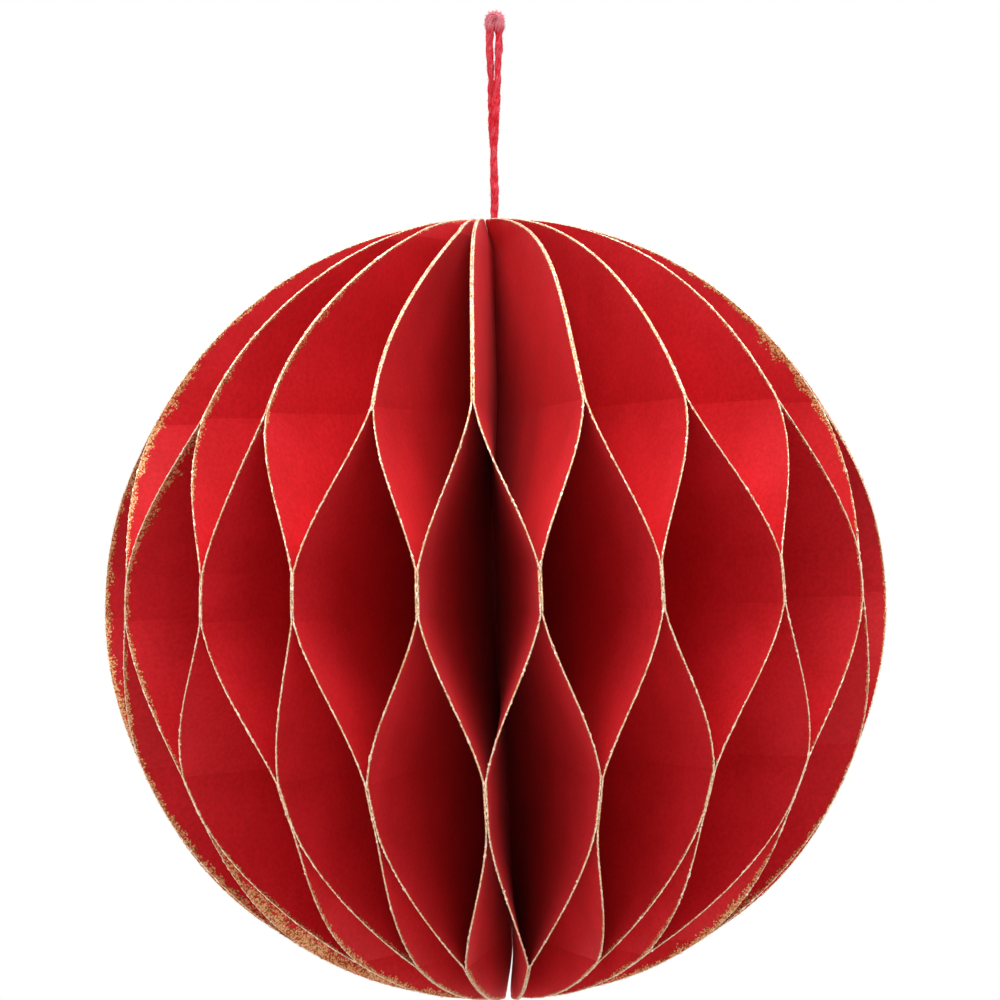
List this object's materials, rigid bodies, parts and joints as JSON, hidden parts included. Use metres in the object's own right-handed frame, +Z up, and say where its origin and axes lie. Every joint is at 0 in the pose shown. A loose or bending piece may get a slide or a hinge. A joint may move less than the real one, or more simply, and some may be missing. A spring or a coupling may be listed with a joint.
{
  "type": "paper honeycomb bauble",
  "caption": "Hanging honeycomb ball of stiff red card leaves, glued in strips round a hollow spine, with glittered edges and a cord loop.",
  "frame": {"origin": "where a hook bears, inside the bend at the top of the cord loop", "axes": "+Z up along the hanging cord, -Y towards the front, +X to the right seen from the front"},
  "size_m": [0.1487, 0.1492, 0.1909],
  "materials": {
    "card": "matte",
    "yarn": "matte"
  },
  "bodies": {
    "root": {"leaf_01": "card", "leaf_02": "card", "leaf_03": "card", "leaf_04": "card", "leaf_05": "card", "leaf_06": "card", "leaf_07": "card", "leaf_08": "card", "leaf_09": "card", "leaf_10": "card", "leaf_11": "card", "leaf_12": "card", "leaf_13": "card", "leaf_14": "card", "leaf_15": "card", "leaf_16": "card", "leaf_17": "card", "leaf_18": "card", "leaf_19": "card", "leaf_20": "card", "leaf_21": "card", "leaf_22": "card", "leaf_23": "card", "leaf_24": "card", "leaf_25": "card", "leaf_26": "card", "leaf_27": "card", "leaf_28": "card", "leaf_29": "card", "leaf_30": "card", "leaf_31": "card", "leaf_32": "card", "leaf_33": "card", "leaf_34": "card", "leaf_35": "card", "leaf_36": "card", "leaf_37": "card", "leaf_38": "card", "hanging_cord": "yarn"}
  },
  "joints": []
}
